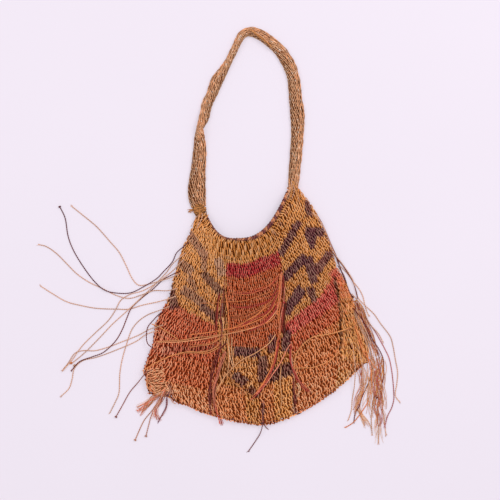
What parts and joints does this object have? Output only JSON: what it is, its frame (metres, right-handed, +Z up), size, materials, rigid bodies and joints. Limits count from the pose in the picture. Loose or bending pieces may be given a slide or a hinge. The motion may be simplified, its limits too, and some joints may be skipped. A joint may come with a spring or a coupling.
{
  "type": "looped string bag",
  "caption": "Slack string bag with a deep U-shaped mouth, a netted carrying strap knotted to one neck and loose string ends, lying flat on its back.",
  "frame": {"origin": "middle of the pouch and strap's outline, on the surface that the bag lies on", "axes": "+Z up from that surface, +Y from the pouch's hem to the top of the strap, +X to the right seen from above"},
  "size_m": [0.4709, 0.5505, 0.018],
  "materials": {
    "ochre": "matte looped plant fibre",
    "strap": "matte netted plant fibre",
    "plain": "matte undyed string",
    "orange": "matte dyed string",
    "red": "matte dyed string",
    "dark": "matte dyed string"
  },
  "bodies": {
    "root": {"bag_body": "ochre", "front_mouth_cord": "strap", "back_mouth_cord": "strap", "strap": "strap", "strap_knot": "strap", "front_01": "orange", "front_02": "orange", "front_03": "plain", "front_04": "plain", "front_05": "plain", "front_06": "red", "front_07": "dark", "front_08": "orange", "front_09": "plain", "front_10": "plain", "hem_01": "red", "left_01": "dark", "left_02": "plain", "left_03": "plain", "left_04": "plain", "left_05": "plain", "left_06": "plain", "left_07": "dark", "left_08": "plain", "left_09": "plain", "left_10": "plain", "left_11": "red", "left_12": "dark", "right_01": "plain", "right_02": "dark", "right_03": "plain", "right_04": "plain", "right_05": "red", "right_06": "dark", "right_07": "plain", "right_08": "plain", "right_09": "plain", "right_10": "orange", "right_11": "dark", "right_12": "plain", "right_13": "plain", "tassel_01": "red", "tassel_02": "orange", "tassel_03": "red", "tassel_04": "dark"}
  },
  "joints": []
}
